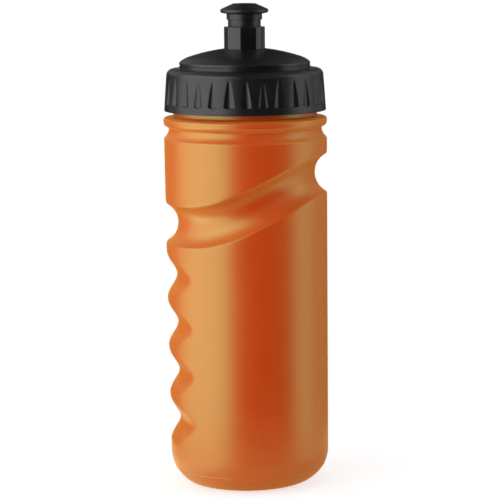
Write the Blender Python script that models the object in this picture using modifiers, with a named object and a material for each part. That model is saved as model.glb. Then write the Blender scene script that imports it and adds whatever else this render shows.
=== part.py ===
"""Sports squeeze bottle with a fluted screw lid and a push-pull mouthpiece.

Lengths are in metres, +Z is up and the origin is the centre of the standing ring.
The four finger dents face -X, and the mouthpiece is pulled up, which is open.
"""

import math

import bmesh
import bpy
from mathutils import Matrix, Vector
from mathutils.geometry import interpolate_bezier

# Fits
SEAT_GAP = 0.0003
RUNNING_CLEARANCE = 0.0003

# Bottle wall, base and standing ring
BODY_RADIUS = 0.0330
BODY_HEIGHT = 0.1409
WALL = 0.0012
FOOT_INSET = 0.0122
FOOT_WIDTH = 0.0025
BASE_CURVE_HEIGHT = 0.0128
BASE_CURVE_DROP = 0.0070
BASE_CURVE_RUN = 0.0056
PUSH_UP_HEIGHT = 0.0030
PUSH_UP_SLOPE_WIDTH = 0.0035
PUSH_UP_SLOPE_HEIGHT = 0.0024

# Shoulder, waist, bead and neck of the bottle
SHOULDER_ROUND = 0.0022
SHOULDER_SLOPE = math.radians(34)
WAIST_INSET = 0.00265
BEAD_HEIGHT = 0.0052
BEAD_ABOVE_WAIST = 0.0003
NECK_INSET = 0.0038
NECK_HEIGHT = 0.0145

# Grip groove that climbs from the finger side to the far side
GROOVE_BELOW_SHOULDER = 0.0140
GROOVE_RISE = 0.0198
GROOVE_CLIMB_START = math.radians(33)
GROOVE_CLIMB_END = math.radians(171)
GROOVE_DEPTH = 0.0050
GROOVE_SECTION_RADIUS = 0.0089
GROOVE_LIP_SOFTNESS = 0.0006

# Finger side: a leaning panel with four dents, nearly straight across
FINGER_LEAN = 0.00185
FINGER_PLAN_RADIUS = 0.0540
FINGER_LIP_SOFTNESS = 0.0003
FINGER_FADE_HEIGHT = 0.0015
DENT_COUNT = 4
DENT_DEPTH = 0.00408
DENTS_BELOW_GROOVE = 0.01124
DENTS_ABOVE_BASE = 0.00434

# Lid: skirt, deck, dome and the ring that keeps the washer in place
LID_WALL = 0.0012
LID_CLEARANCE = 0.00125
THREAD_ROOM = 0.0013
DECK_THICKNESS = 0.0018
DECK_ROUND = 0.0026
DOME_INSET = 0.0053
DOME_WALL = 0.0015
DOME_WALL_HEIGHT = 0.0015
DOME_CURVE = 0.0713
DOME_EDGE = 0.0027
PLUG_LENGTH = 0.0040
PLUG_WALL = 0.0012
FLUTE_COUNT = 30
FLUTE_DEPTH = 0.0010
FLUTE_WIDTH = 0.0042
FLUTE_HEIGHT = 0.0109
FLUTE_BAND = 0.0027
FLUTE_POINT_LIFT = 0.0001
FLUTE_PHASE = math.radians(-88.4)

# Sealing washer
WASHER_THICKNESS = 0.0012

# Spout tube and the valve's core pin
TUBE_WALL = 0.0008
TUBE_HEIGHT = 0.0089
TUBE_RIM_ROUND = 0.0004
RETAINING_LIP = 0.0017
FLANGE_WIDTH = 0.0025
FLANGE_THICKNESS = 0.0012
RIB_COUNT = 3
RIB_HEIGHT = 0.0021
RIB_THICKNESS = 0.0014
RIB_FOOT_LIFT = 0.0003
CORE_FOOT_RADIUS = 0.0027
CORE_TIP_LENGTH = 0.0040
CORE_FOOT_LENGTH = 0.0028

# Mouthpiece
MOUTH_TRAVEL = 0.0024
MOUTH_STEM_RADIUS = 0.0066
MOUTH_BORE = 0.0049
PISTON_STEP = 0.00055
COLLAR_RADIUS = 0.0071
COLLAR_HEIGHT = 0.0022
HEAD_RADIUS = 0.0097
HEAD_EDGE = 0.0011
HEAD_SLOPE = math.radians(22.5)
HEAD_FLAT = 0.0048
HEAD_UNDERCUT = 0.0004
OUTLET_RADIUS = 0.0025
OUTLET_LENGTH = 0.0030
VALVE_GAP = 0.0012

# Facets round the axis and along the curves
BODY_STEPS = 44
LID_STEPS = 60
SPOUT_STEPS = 32
DENT_STEPS = 6
GROOVE_STEPS = 8
BASE_STEPS = 6
BEAD_STEPS = 6
DOME_STEPS = 4
LID_CORNER_STEPS = 3
SMALL_CORNER_STEPS = 2
HEAD_STEPS = 6
FLUTE_STEPS = 14
MERGE_DISTANCE = 0.00001
CRISP_EDGE = math.radians(35)

# Radii and heights that follow from the sizes above
foot_radius = BODY_RADIUS - FOOT_INSET
waist_radius = BODY_RADIUS - WAIST_INSET
neck_radius = BODY_RADIUS - NECK_INSET
groove_low = BODY_HEIGHT - GROOVE_BELOW_SHOULDER - GROOVE_RISE
dent_top = groove_low - DENTS_BELOW_GROOVE
dent_pitch = (dent_top - BASE_CURVE_HEIGHT - DENTS_ABOVE_BASE) / DENT_COUNT
shoulder_drop = WAIST_INSET - SHOULDER_ROUND * (1 - math.cos(SHOULDER_SLOPE))
shoulder_top = BODY_HEIGHT + SHOULDER_ROUND * math.sin(SHOULDER_SLOPE)
waist_height = shoulder_top + shoulder_drop / math.tan(SHOULDER_SLOPE)
bead_foot = waist_height + BEAD_ABOVE_WAIST
bead_top = bead_foot + BEAD_HEIGHT
mouth_height = bead_top + NECK_HEIGHT
washer_seat = mouth_height + SEAT_GAP
lid_seat = washer_seat + WASHER_THICKNESS + SEAT_GAP

for old in list(bpy.data.objects):
    bpy.data.objects.remove(old)

parts = bpy.data.collections.new("sports_squeeze_bottle")
cutters = bpy.data.collections.new("cutters")
bpy.context.scene.collection.children.link(parts)
bpy.context.scene.collection.children.link(cutters)


def plastic(name, colour, roughness):
    """A moulded plastic finish."""
    material = bpy.data.materials.new(name)
    material.use_nodes = True
    shader = material.node_tree.nodes["Principled BSDF"]
    shader.inputs["Base Color"].default_value = (*colour, 1)
    shader.inputs["Roughness"].default_value = roughness
    shader.inputs["Metallic"].default_value = 0
    return material


def arc(centre, radius, start, end, count):
    """Points of an arc in the (radius, height) plane, angles from the outward direction."""
    angles = [start + (end - start) * i / count for i in range(count + 1)]
    return [
        (centre[0] + radius * math.cos(a), centre[1] + radius * math.sin(a)) for a in angles
    ]


def turned_mesh(name, outline, steps, closed):
    """The outline, run down its outer side, turned round the Z axis."""
    profile = bpy.data.meshes.new(name + "_profile")
    points = [(radius, 0, height) for radius, height in outline]
    edges = [(i, i + 1) for i in range(len(points) - 1)]
    if closed:
        edges.append((len(points) - 1, 0))
    profile.from_pydata(points, edges, [])
    guide = bpy.data.objects.new(name + "_profile", profile)
    parts.objects.link(guide)
    screw = guide.modifiers.new("turn", "SCREW")
    screw.axis = "Z"
    screw.angle = 2 * math.pi
    screw.steps = steps
    screw.render_steps = steps
    screw.use_merge_vertices = True
    screw.merge_threshold = MERGE_DISTANCE
    graph = bpy.context.evaluated_depsgraph_get()
    mesh = bpy.data.meshes.new_from_object(guide.evaluated_get(graph))
    mesh.name = name
    bpy.data.objects.remove(guide)
    return mesh


def placed(name, mesh, collection, height=0.0, parent=None):
    """An object of this mesh, standing at a height above its parent's origin."""
    piece = bpy.data.objects.new(name, mesh)
    collection.objects.link(piece)
    piece.parent = parent
    piece.location.z = height
    return piece


def helper(name, mesh, height=0.0, parent=None):
    """A shape that only cuts or joins another one."""
    tool = placed(name, mesh, cutters, height, parent)
    tool.hide_render = True
    tool.display_type = "WIRE"
    return tool


def boolean(piece, tool, operation):
    modifier = piece.modifiers.new(tool.name, "BOOLEAN")
    modifier.operation = operation
    modifier.solver = "EXACT"
    modifier.object = tool


def finished(piece, material):
    """Smooth round faces with crisp edges, in the piece's own material."""
    piece.data.shade_smooth()
    piece.data.set_sharp_from_angle(angle=CRISP_EDGE)
    piece.data.materials.append(material)


def groove_climb(angle):
    """Share of the groove's climb that is done at an angle from the finger side."""
    share = (abs(angle) - GROOVE_CLIMB_START) / (GROOVE_CLIMB_END - GROOVE_CLIMB_START)
    return min(max(share, 0), 1)


def groove_height(angle):
    """Height of the groove's centre, easing from its low side to its high side."""
    share = groove_climb(angle)
    return groove_low + GROOVE_RISE * share**3 * (share * (6 * share - 15) + 10)


def groove_lean(angle):
    """Cosine of the groove's slope, which sets its round section square to its path."""
    share = groove_climb(angle)
    run = BODY_RADIUS * (GROOVE_CLIMB_END - GROOVE_CLIMB_START)
    slope = 30 * (share * (1 - share)) ** 2 * GROOVE_RISE / run
    return 1 / math.hypot(1, slope)


# Half the groove's width where its round section meets the wall, and the section's slope there
groove_half_width = math.sqrt(
    GROOVE_SECTION_RADIUS**2 - (GROOVE_SECTION_RADIUS - GROOVE_DEPTH) ** 2
)
groove_lip_slope = groove_half_width / (GROOVE_SECTION_RADIUS - GROOVE_DEPTH)
groove_reach = groove_half_width + 2 * GROOVE_LIP_SOFTNESS


def softened(cut, softness):
    """A cut's depth, with its edge rounded off instead of ending in a crease."""
    return (cut + math.hypot(cut, 2 * softness)) / 2


def groove_depth(offset):
    """Depth of the round channel at a height from its centre, with softened lips."""
    if abs(offset) < groove_half_width:
        floor = math.sqrt(GROOVE_SECTION_RADIUS**2 - offset**2)
        channel = floor - (GROOVE_SECTION_RADIUS - GROOVE_DEPTH)
    else:
        channel = (groove_half_width - abs(offset)) * groove_lip_slope
    return softened(channel, GROOVE_LIP_SOFTNESS)


def finger_depth(angle, height):
    """Depth of the leaning finger panel and its dents, which are nearly straight across."""
    if abs(angle) > math.pi / 2 or height >= BODY_HEIGHT:
        return 0
    middle = FINGER_LEAN * (1 - height / BODY_HEIGHT)
    turns = (dent_top - height) / dent_pitch
    if 0 < turns < DENT_COUNT:
        middle += DENT_DEPTH * (1 - math.cos(2 * math.pi * turns)) / 2
    shift = FINGER_PLAN_RADIUS - BODY_RADIUS + middle
    across = math.sqrt(FINGER_PLAN_RADIUS**2 - (shift * math.sin(angle)) ** 2)
    cut = BODY_RADIUS - across + shift * math.cos(angle)
    fade = min(height / FINGER_FADE_HEIGHT, 1)
    return softened(cut, FINGER_LIP_SOFTNESS) * fade


def row_height(height, angle):
    """A row's height where the rows of faces follow the groove round the bottle."""
    low_edge = groove_low - groove_reach
    high_edge = groove_low + groove_reach
    if height < low_edge:
        share = max((height - BASE_CURVE_HEIGHT) / (low_edge - BASE_CURVE_HEIGHT), 0)
    else:
        share = min((BODY_HEIGHT - height) / (BODY_HEIGHT - high_edge), 1)
    return height + (groove_height(angle) - groove_low) * max(share, 0)


def bottle_outline():
    """Outer side of the bottle from the rim of its mouth down to the centre of its base."""
    bead_centre = bead_foot + BEAD_HEIGHT / 2
    outline = [(neck_radius, mouth_height), (neck_radius, bead_top)]
    for i in range(BEAD_STEPS + 1):
        turn = math.pi * (1 / 2 - i / BEAD_STEPS)
        out = waist_radius + (BODY_RADIUS - waist_radius) * math.cos(turn)
        outline.append((out, bead_centre + BEAD_HEIGHT / 2 * math.sin(turn)))
    outline.append((waist_radius, waist_height))
    corner = (BODY_RADIUS - SHOULDER_ROUND, BODY_HEIGHT)
    outline += arc(corner, SHOULDER_ROUND, SHOULDER_SLOPE, 0, SMALL_CORNER_STEPS)
    groove_top = groove_low + groove_reach
    outline.append((BODY_RADIUS, (BODY_HEIGHT + groove_top) / 2))
    for i in range(GROOVE_STEPS + 1):
        outline.append((BODY_RADIUS, groove_top - 2 * groove_reach * i / GROOVE_STEPS))
    for i in range(DENT_COUNT * DENT_STEPS + 1):
        outline.append((BODY_RADIUS, dent_top - dent_pitch * i / DENT_STEPS))
    base_curve = interpolate_bezier(
        (BODY_RADIUS, BASE_CURVE_HEIGHT),
        (BODY_RADIUS, BASE_CURVE_HEIGHT - BASE_CURVE_DROP),
        (foot_radius + BASE_CURVE_RUN, 0),
        (foot_radius, 0),
        BASE_STEPS,
    )
    outline += [(point[0], point[1]) for point in base_curve]
    foot_inner = foot_radius - FOOT_WIDTH
    outline.append((foot_inner, 0))
    outline.append((foot_inner - PUSH_UP_SLOPE_WIDTH, PUSH_UP_SLOPE_HEIGHT))
    outline.append((0, PUSH_UP_HEIGHT))
    return outline


def make_bottle():
    """The blow-moulded shell: a turned wall, pressed in by the groove and the dents."""
    mesh = turned_mesh("bottle_body", bottle_outline(), BODY_STEPS, closed=False)
    for vertex in mesh.vertices:
        radius = math.hypot(vertex.co.x, vertex.co.y)
        if vertex.co.z > BODY_HEIGHT or radius < foot_radius:
            continue
        angle = math.atan2(vertex.co.y, -vertex.co.x)
        height = row_height(vertex.co.z, angle)
        offset = (height - groove_height(angle)) * groove_lean(angle)
        depth = groove_depth(offset) + finger_depth(angle, height)
        scale = (radius - depth) / radius
        vertex.co = (vertex.co.x * scale, vertex.co.y * scale, height)
    piece = placed("bottle_body", mesh, parts)
    shell = piece.modifiers.new("wall", "SOLIDIFY")
    shell.thickness = WALL
    shell.offset = -1
    shell.use_even_offset = True
    finished(piece, plastic("orange_polyethylene", (0.62, 0.20, 0.03), 0.42))
    return piece


neck_bore = neck_radius - WALL
lid_bore = neck_radius + THREAD_ROOM
plug_radius = neck_bore - RUNNING_CLEARANCE
tube_bore = MOUTH_STEM_RADIUS + PISTON_STEP + RUNNING_CLEARANCE
tube_radius = tube_bore + TUBE_WALL
dome_hole = tube_radius + SEAT_GAP
lid_top_radius = lid_bore + LID_WALL
dome_radius = lid_top_radius - DOME_INSET
dome_rim = DECK_THICKNESS + DOME_WALL_HEIGHT
dome_edge_slope = math.asin((dome_radius - DOME_EDGE) / (DOME_CURVE - DOME_EDGE))
dome_centre = dome_rim + (DOME_EDGE - DOME_CURVE) * math.cos(dome_edge_slope)
lid_foot = bead_top + LID_CLEARANCE - lid_seat
lid_foot_radius = lid_top_radius + FLUTE_DEPTH


def dome_height(radius, curve=DOME_CURVE):
    """Height of the dome over the lid's seat."""
    return dome_centre + math.sqrt(curve**2 - radius**2)


def lid_outline():
    """Section of the lid: down the dome and the skirt, then back up inside."""
    join = DOME_CURVE * math.sin(dome_edge_slope)
    outline = []
    for i in range(DOME_STEPS):
        radius = dome_hole + (join - dome_hole) * i / DOME_STEPS
        outline.append((radius, dome_height(radius)))
    edge_centre = (dome_radius - DOME_EDGE, dome_rim)
    outline += arc(edge_centre, DOME_EDGE, math.pi / 2 - dome_edge_slope, 0, LID_CORNER_STEPS)
    outline.append((dome_radius, DECK_THICKNESS))
    deck_corner = (lid_top_radius - DECK_ROUND, DECK_THICKNESS - DECK_ROUND)
    outline += arc(deck_corner, DECK_ROUND, math.pi / 2, 0, LID_CORNER_STEPS)
    outline += [(lid_foot_radius, lid_foot), (lid_bore, lid_foot), (lid_bore, 0)]
    outline += [(plug_radius, 0), (plug_radius, -PLUG_LENGTH)]
    outline += [(plug_radius - PLUG_WALL, -PLUG_LENGTH), (plug_radius - PLUG_WALL, 0)]
    inner_wall = dome_radius - DOME_WALL
    inner_curve = DOME_CURVE - DOME_WALL
    outline.append((inner_wall, 0))
    for i in range(DOME_STEPS + 1):
        radius = inner_wall + (dome_hole - inner_wall) * i / DOME_STEPS
        outline.append((radius, dome_height(radius, inner_curve)))
    return outline


def flute_mesh():
    """Tapered scallops round the skirt, pointed at the top and widest at the bottom."""
    foot = lid_foot + FLUTE_BAND
    half = FLUTE_WIDTH / 2
    section = (half**2 + FLUTE_DEPTH**2) / (2 * FLUTE_DEPTH)
    skirt_top = DECK_THICKNESS - DECK_ROUND
    taper = (lid_foot_radius - lid_top_radius) / (skirt_top - lid_foot)
    point_radius = lid_foot_radius - taper * (FLUTE_BAND + FLUTE_HEIGHT) + FLUTE_POINT_LIFT
    point = Vector((point_radius, 0, foot + FLUTE_HEIGHT))
    seat = Vector((lid_foot_radius - taper * FLUTE_BAND - FLUTE_DEPTH + section, 0, foot))
    axis = point - seat
    stand = Matrix.Translation((point + seat) / 2) @ axis.to_track_quat("Z", "X").to_matrix().to_4x4()
    build = bmesh.new()
    for i in range(FLUTE_COUNT):
        turn = Matrix.Rotation(2 * math.pi * i / FLUTE_COUNT, 4, "Z")
        bmesh.ops.create_cone(
            build,
            cap_ends=True,
            segments=FLUTE_STEPS,
            radius1=section,
            radius2=0,
            depth=axis.length,
            matrix=turn @ stand,
        )
    mesh = bpy.data.meshes.new("flute_cutters")
    build.to_mesh(mesh)
    build.free()
    return mesh


def make_lid(parent):
    """Black lid with its fluted skirt; the dome has a hole for the spout tube."""
    mesh = turned_mesh("screw_lid", lid_outline(), LID_STEPS, closed=True)
    piece = placed("screw_lid", mesh, parts, lid_seat, parent)
    flutes = helper("flute_cutters", flute_mesh(), 0, piece)
    boolean(piece, flutes, "DIFFERENCE")
    piece.rotation_euler.z = FLUTE_PHASE
    finished(piece, plastic("matt_black_lid", (0.025, 0.025, 0.027), 0.50))
    return piece


def make_washer(parent):
    """Flat sealing washer between the plug ring and the skirt."""
    inner = plug_radius + SEAT_GAP
    outer = lid_bore - SEAT_GAP
    outline = [(inner, WASHER_THICKNESS), (outer, WASHER_THICKNESS), (outer, 0), (inner, 0)]
    mesh = turned_mesh("lid_gasket", outline, BODY_STEPS, closed=True)
    piece = placed("lid_gasket", mesh, parts, washer_seat, parent)
    finished(piece, plastic("pale_seal_rubber", (0.55, 0.55, 0.52), 0.65))
    return piece


# Heights of the spout over the lid's seat
tube_foot = dome_height(dome_hole)
tube_top = tube_foot + TUBE_HEIGHT
flange_radius = tube_radius + FLANGE_WIDTH
flange_top = dome_height(flange_radius, DOME_CURVE - DOME_WALL) - SEAT_GAP
flange_foot = flange_top - FLANGE_THICKNESS
rib_top = flange_foot + RIB_FOOT_LIFT + RIB_HEIGHT
collar_seat = tube_top + MOUTH_TRAVEL + SEAT_GAP
head_foot = collar_seat + COLLAR_HEIGHT
head_edge_height = head_foot + HEAD_UNDERCUT + HEAD_EDGE
head_edge_radius = HEAD_RADIUS - HEAD_EDGE
cone_start = head_edge_radius + HEAD_EDGE * math.sin(HEAD_SLOPE)
cone_rise = (cone_start - HEAD_FLAT) * math.tan(HEAD_SLOPE)
head_top = head_edge_height + HEAD_EDGE * math.cos(HEAD_SLOPE) + cone_rise
outlet_foot = head_top - OUTLET_LENGTH
core_top = outlet_foot - VALVE_GAP
piston_top = tube_top - RETAINING_LIP - SEAT_GAP
piston_foot = rib_top + MOUTH_TRAVEL + SEAT_GAP


def make_tube(parent):
    """Glossy tube with a flange under the dome, and the core pin on its ribs."""
    upper_bore = MOUTH_STEM_RADIUS + RUNNING_CLEARANCE
    rim_centre = (tube_radius - TUBE_RIM_ROUND, tube_top - TUBE_RIM_ROUND)
    outline = [(upper_bore, tube_top)]
    outline += arc(rim_centre, TUBE_RIM_ROUND, math.pi / 2, 0, SMALL_CORNER_STEPS)
    outline += [(tube_radius, flange_top), (flange_radius, flange_top)]
    outline += [(flange_radius, flange_foot), (tube_bore, flange_foot)]
    outline += [(tube_bore, tube_top - RETAINING_LIP), (upper_bore, tube_top - RETAINING_LIP)]
    mesh = turned_mesh("spout_tube", outline, SPOUT_STEPS, closed=True)
    piece = placed("spout_tube", mesh, parts, 0, parent)
    core_radius = OUTLET_RADIUS - RUNNING_CLEARANCE
    core = [(0, core_top), (core_radius, core_top), (core_radius, core_top - CORE_TIP_LENGTH)]
    core += [(CORE_FOOT_RADIUS, flange_foot + CORE_FOOT_LENGTH)]
    core += [(CORE_FOOT_RADIUS, flange_foot), (0, flange_foot)]
    pin = helper("core_pin", turned_mesh("core_pin", core, SPOUT_STEPS // 2, closed=False), 0, piece)
    boolean(piece, pin, "UNION")
    build = bmesh.new()
    rib_start = CORE_FOOT_RADIUS / 2
    rib_end = tube_bore + TUBE_WALL / 2
    middle = Matrix.Translation(((rib_start + rib_end) / 2, 0, rib_top - RIB_HEIGHT / 2))
    size = Matrix.Diagonal((rib_end - rib_start, RIB_THICKNESS, RIB_HEIGHT, 1))
    for i in range(RIB_COUNT):
        turn = Matrix.Rotation(2 * math.pi * i / RIB_COUNT, 4, "Z")
        bmesh.ops.create_cube(build, matrix=turn @ middle @ size)
    spokes = bpy.data.meshes.new("core_ribs")
    build.to_mesh(spokes)
    build.free()
    boolean(piece, helper("core_ribs", spokes, 0, piece), "UNION")
    finished(piece, plastic("glossy_black_tube", (0.012, 0.012, 0.014), 0.12))
    return piece


def make_mouthpiece(parent):
    """Push-pull mouthpiece: mushroom head, collar, neck and a piston foot held in the tube."""
    piston_radius = MOUTH_STEM_RADIUS + PISTON_STEP
    edge_centre = (head_edge_radius, head_edge_height)
    outline = [(OUTLET_RADIUS, head_top), (HEAD_FLAT, head_top)]
    outline += arc(edge_centre, HEAD_EDGE, math.pi / 2 - HEAD_SLOPE, -math.pi / 2, HEAD_STEPS)
    outline += [(COLLAR_RADIUS, head_foot), (COLLAR_RADIUS, collar_seat)]
    outline += [(MOUTH_STEM_RADIUS, collar_seat), (MOUTH_STEM_RADIUS, piston_top)]
    outline += [(piston_radius, piston_top), (piston_radius, piston_foot)]
    outline += [(MOUTH_BORE, piston_foot), (MOUTH_BORE, outlet_foot), (OUTLET_RADIUS, outlet_foot)]
    outline = [(radius, height - collar_seat) for radius, height in outline]
    mesh = turned_mesh("mouthpiece", outline, SPOUT_STEPS, closed=True)
    piece = placed("mouthpiece", mesh, parts, collar_seat, parent)
    finished(piece, plastic("satin_black_mouthpiece", (0.022, 0.022, 0.023), 0.45))
    return piece


bottle = make_bottle()
washer = make_washer(bottle)
lid = make_lid(bottle)
tube = make_tube(lid)
make_mouthpiece(tube)
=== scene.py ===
"""Looks of a sports squeeze bottle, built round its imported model.

Lengths are in metres, +Z is up and the finger dents face -X, as in the model.
"""

import math

import bmesh
import bpy
import numpy as np
from mathutils import Matrix, Vector


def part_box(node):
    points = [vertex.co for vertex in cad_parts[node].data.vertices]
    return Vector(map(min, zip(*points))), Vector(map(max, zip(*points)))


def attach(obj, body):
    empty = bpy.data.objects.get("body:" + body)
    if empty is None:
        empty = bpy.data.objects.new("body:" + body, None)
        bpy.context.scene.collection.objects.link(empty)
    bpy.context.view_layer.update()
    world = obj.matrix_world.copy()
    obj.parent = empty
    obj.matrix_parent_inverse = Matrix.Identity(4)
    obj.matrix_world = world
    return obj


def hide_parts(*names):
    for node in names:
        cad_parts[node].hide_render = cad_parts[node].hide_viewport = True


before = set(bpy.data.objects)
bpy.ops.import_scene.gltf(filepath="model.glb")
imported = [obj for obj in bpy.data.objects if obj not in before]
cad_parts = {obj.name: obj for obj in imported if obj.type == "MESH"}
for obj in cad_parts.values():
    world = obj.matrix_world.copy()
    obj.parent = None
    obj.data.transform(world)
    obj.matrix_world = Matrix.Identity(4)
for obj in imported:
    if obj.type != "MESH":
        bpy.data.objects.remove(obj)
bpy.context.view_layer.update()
scene = bpy.context.scene
scene.view_settings.view_transform = "Standard"


# Camera
# A long lens stands about a metre away, a little above the lid, and looks down on the bottle.
# The picture is very slightly turned and is not quite centred on the bottle.
PICTURE_SIDE = 500
FOCAL_LENGTH_IN_PIXELS = 2330
SENSOR_WIDTH_IN_MILLIMETRES = 36
CAMERA_DISTANCE = 0.9491
CAMERA_PITCH = math.radians(7.934)
CAMERA_ROLL = math.radians(-0.48)
CAMERA_AIM = Vector((0, 0, 0.0949))
AIM_LEFT_OF_CENTRE_IN_PIXELS = 3.73
AIM_BELOW_CENTRE_IN_PIXELS = 0.5
FARTHEST_SEEN = 20

lens = bpy.data.cameras.new("camera")
lens.sensor_width = SENSOR_WIDTH_IN_MILLIMETRES
lens.lens = SENSOR_WIDTH_IN_MILLIMETRES * FOCAL_LENGTH_IN_PIXELS / PICTURE_SIDE
lens.shift_x = AIM_LEFT_OF_CENTRE_IN_PIXELS / PICTURE_SIDE
lens.shift_y = AIM_BELOW_CENTRE_IN_PIXELS / PICTURE_SIDE
lens.clip_end = FARTHEST_SEEN
camera = bpy.data.objects.new("camera", lens)
scene.collection.objects.link(camera)
backwards = Vector((0, -math.cos(CAMERA_PITCH), math.sin(CAMERA_PITCH)))
camera.matrix_world = (
    Matrix.Translation(CAMERA_AIM + CAMERA_DISTANCE * backwards)
    @ Matrix.Rotation(math.pi / 2 - CAMERA_PITCH, 4, "X")
    @ Matrix.Rotation(CAMERA_ROLL, 4, "Z")
)
scene.camera = camera


# Bottle
# One soft polyethylene bottle, blow moulded in two halves that meet in the plane of the finger dents.
# The grip groove and the four dents are moulded in, and the neck carries the lid's right-hand thread.
BODY_RADIUS = 0.0330
BODY_HEIGHT = 0.1409
BOTTLE_WALL = 0.0012
FOOT_RADIUS = 0.0208
FOOT_WIDTH = 0.0025
FOOT_EDGE = 0.0006
FOOT_INNER_LIFT = 0.0001
BASE_CURVE_HEIGHT = 0.0128
BASE_CURVE_DROP = 0.0070
BASE_CURVE_RUN = 0.0056
PUSH_UP_HEIGHT = 0.0030
PUSH_UP_SLOPE_WIDTH = 0.0035
PUSH_UP_SLOPE_HEIGHT = 0.0024
SHOULDER_START = 0.1404
SHOULDER_ROUND = 0.0016
SHOULDER_SLOPE = math.radians(46)
SHOULDER_ROW_DROP = 0.0005
FLANK_START = math.radians(8)
WAIST_RADIUS = 0.03075
WAIST_BEND_DROP = 0.0002
BEAD_TOP = 0.1496
BEAD_ROUND = 0.0011
BEAD_FACE = 0.0007
BEAD_FOOT_DROP = 0.0017
BEAD_FOOT_RUN = 0.0010
BEAD_FOOT_BEND = 0.7
NECK_RADIUS = 0.0289
NECK_FOOT_RUN = 0.0020
NECK_FOOT_RISE = 0.0016
MOUTH_HEIGHT = 0.1655
MOUTH_ROUND = 0.0005
GROOVE_LOW = 0.1071
GROOVE_RISE = 0.0198
GROOVE_CLIMB_START = math.radians(33)
GROOVE_CLIMB_END = math.radians(171)
GROOVE_DEPTH = 0.0050
GROOVE_SECTION_RADIUS = 0.0089
GROOVE_SOFT_LIP = 0.0005
GROOVE_CRISP_LIP = 0.00024
GROOVE_SOFT_SHARE = 0.6
GROOVE_MARGIN = 0.0020
FINGER_LEAN = 0.00185
FINGER_PLAN_RADIUS = 0.0540
FINGER_LIP_SOFTNESS = 0.0002
FINGER_FADE_HEIGHT = 0.0015
DENT_COUNT = 4
DENT_DEPTH = 0.00408
DENT_TOP = 0.09586
DENT_PITCH = 0.01968
INSIDE_LIP_SOFTNESS = 0.0022
THREAD_PITCH = 0.0050
THREAD_RIDGE = 0.0009
THREAD_HALF_WIDTH = 0.0010
THREAD_FLANK = 0.0006
THREAD_FADE_TURNS = 0.12
NECK_THREAD_START = 0.1546
NECK_THREAD_TURNS = 1.45
PARTING_LINE_HEIGHT = 0.00006
PARTING_LINE_WIDTH = 0.0003
BASE_SEAM_RADIUS = 0.03143
BASE_SEAM_SHARE = 0.297
BASE_SEAM_REACH = 0.03
BASE_SEAM_HEIGHT = 0.00016
BASE_SEAM_WIDTH = 0.00016
NECK_ROWS = 64
UPPER_WALL_ROWS = 24
GROOVE_ROWS = 84
LOWER_WALL_ROWS = 190
BASE_CURVE_ROWS = 41
BASE_SEAM_ROWS = 25
INSIDE_ROW_STEP = 3
BOTTLE_COLUMNS = 288
WELD_DISTANCE = 1e-6
SHORTEST_STEP = 1e-9

flank_radius = (BODY_RADIUS - WAIST_RADIUS) / (1 - math.cos(SHOULDER_SLOPE)) - SHOULDER_ROUND
waist_height = SHOULDER_START + (SHOULDER_ROUND + flank_radius) * math.sin(SHOULDER_SLOPE)
groove_half_width = math.sqrt(GROOVE_SECTION_RADIUS**2 - (GROOVE_SECTION_RADIUS - GROOVE_DEPTH) ** 2)
groove_lip_slope = groove_half_width / (GROOVE_SECTION_RADIUS - GROOVE_DEPTH)
groove_reach = groove_half_width + GROOVE_MARGIN


def arc(centre, radius, start, end, count):
    """Points of an arc in the (radius, height) plane, angles from the outward direction."""
    angles = np.linspace(start, end, count + 1)
    return [(centre[0] + radius * math.cos(a), centre[1] + radius * math.sin(a)) for a in angles]


def stretch(start, end, count):
    """Points from start up to, but not including, the end."""
    shares = np.arange(count) / count
    return [(start[0] + (end[0] - start[0]) * s, start[1] + (end[1] - start[1]) * s) for s in shares]


def bent(start, bend, end, count):
    """Points of a curve that leaves start towards the bend and comes to the end from it."""
    points = []
    for share in np.linspace(0, 1, count + 1):
        weights = ((1 - share) ** 2, 2 * share * (1 - share), share**2)
        points.append(tuple(np.dot(weights, (start, bend, end))))
    return points


def eased(share):
    """A smooth step from 0 to 1, level at both ends and in curvature."""
    share = np.clip(share, 0, 1)
    return share**3 * (share * (6 * share - 15) + 10)


def eased_slope(share):
    """How steeply that smooth step climbs at a share."""
    return 30 * (share * (1 - share)) ** 2


def softened(cut, softness):
    """A cut's depth, with its edge rounded off instead of ending in a crease."""
    return (cut + np.hypot(cut, 2 * softness)) / 2


def ridge(offset, half_width, flank):
    """A flat-topped ridge of height 1 across an offset, with eased flanks."""
    return 1 - eased((np.abs(offset) - half_width + flank) / flank)


def thread(turn, height, start, turns):
    """A right-hand thread's ridge: 1 on its crest, fading out at both ends."""
    wound = (height - start) / THREAD_PITCH - turn / (2 * math.pi)
    offset = (wound - np.round(wound)) * THREAD_PITCH
    along = np.round(wound) + turn / (2 * math.pi)
    ends = eased(along / THREAD_FADE_TURNS) * eased((turns - along) / THREAD_FADE_TURNS)
    return ridge(offset, THREAD_HALF_WIDTH, THREAD_FLANK) * ends


def from_finger_side(turn):
    """Angle from the finger dents, the same on both sides of the bottle."""
    return np.abs((turn + 2 * math.pi) % (2 * math.pi) - math.pi)


def groove_climb(turn):
    """Share of its climb that the groove has made, from the finger side to the far side."""
    share = (from_finger_side(turn) - GROOVE_CLIMB_START) / (GROOVE_CLIMB_END - GROOVE_CLIMB_START)
    return np.clip(share, 0, 1)


def groove_height(turn):
    """Height of the groove's centre, easing from its low side to its high side."""
    return GROOVE_LOW + GROOVE_RISE * eased(groove_climb(turn))


def lip_softness(turn, height):
    """The upper lip is soft on the finger side and turns crisp further round; the lower lip is crisp."""
    above = eased((height - groove_height(turn)) / groove_half_width / 2 + 0.5)
    near_fingers = 1 - eased(groove_climb(turn) / GROOVE_SOFT_SHARE)
    return GROOVE_CRISP_LIP + (GROOVE_SOFT_LIP - GROOVE_CRISP_LIP) * above * near_fingers


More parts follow.
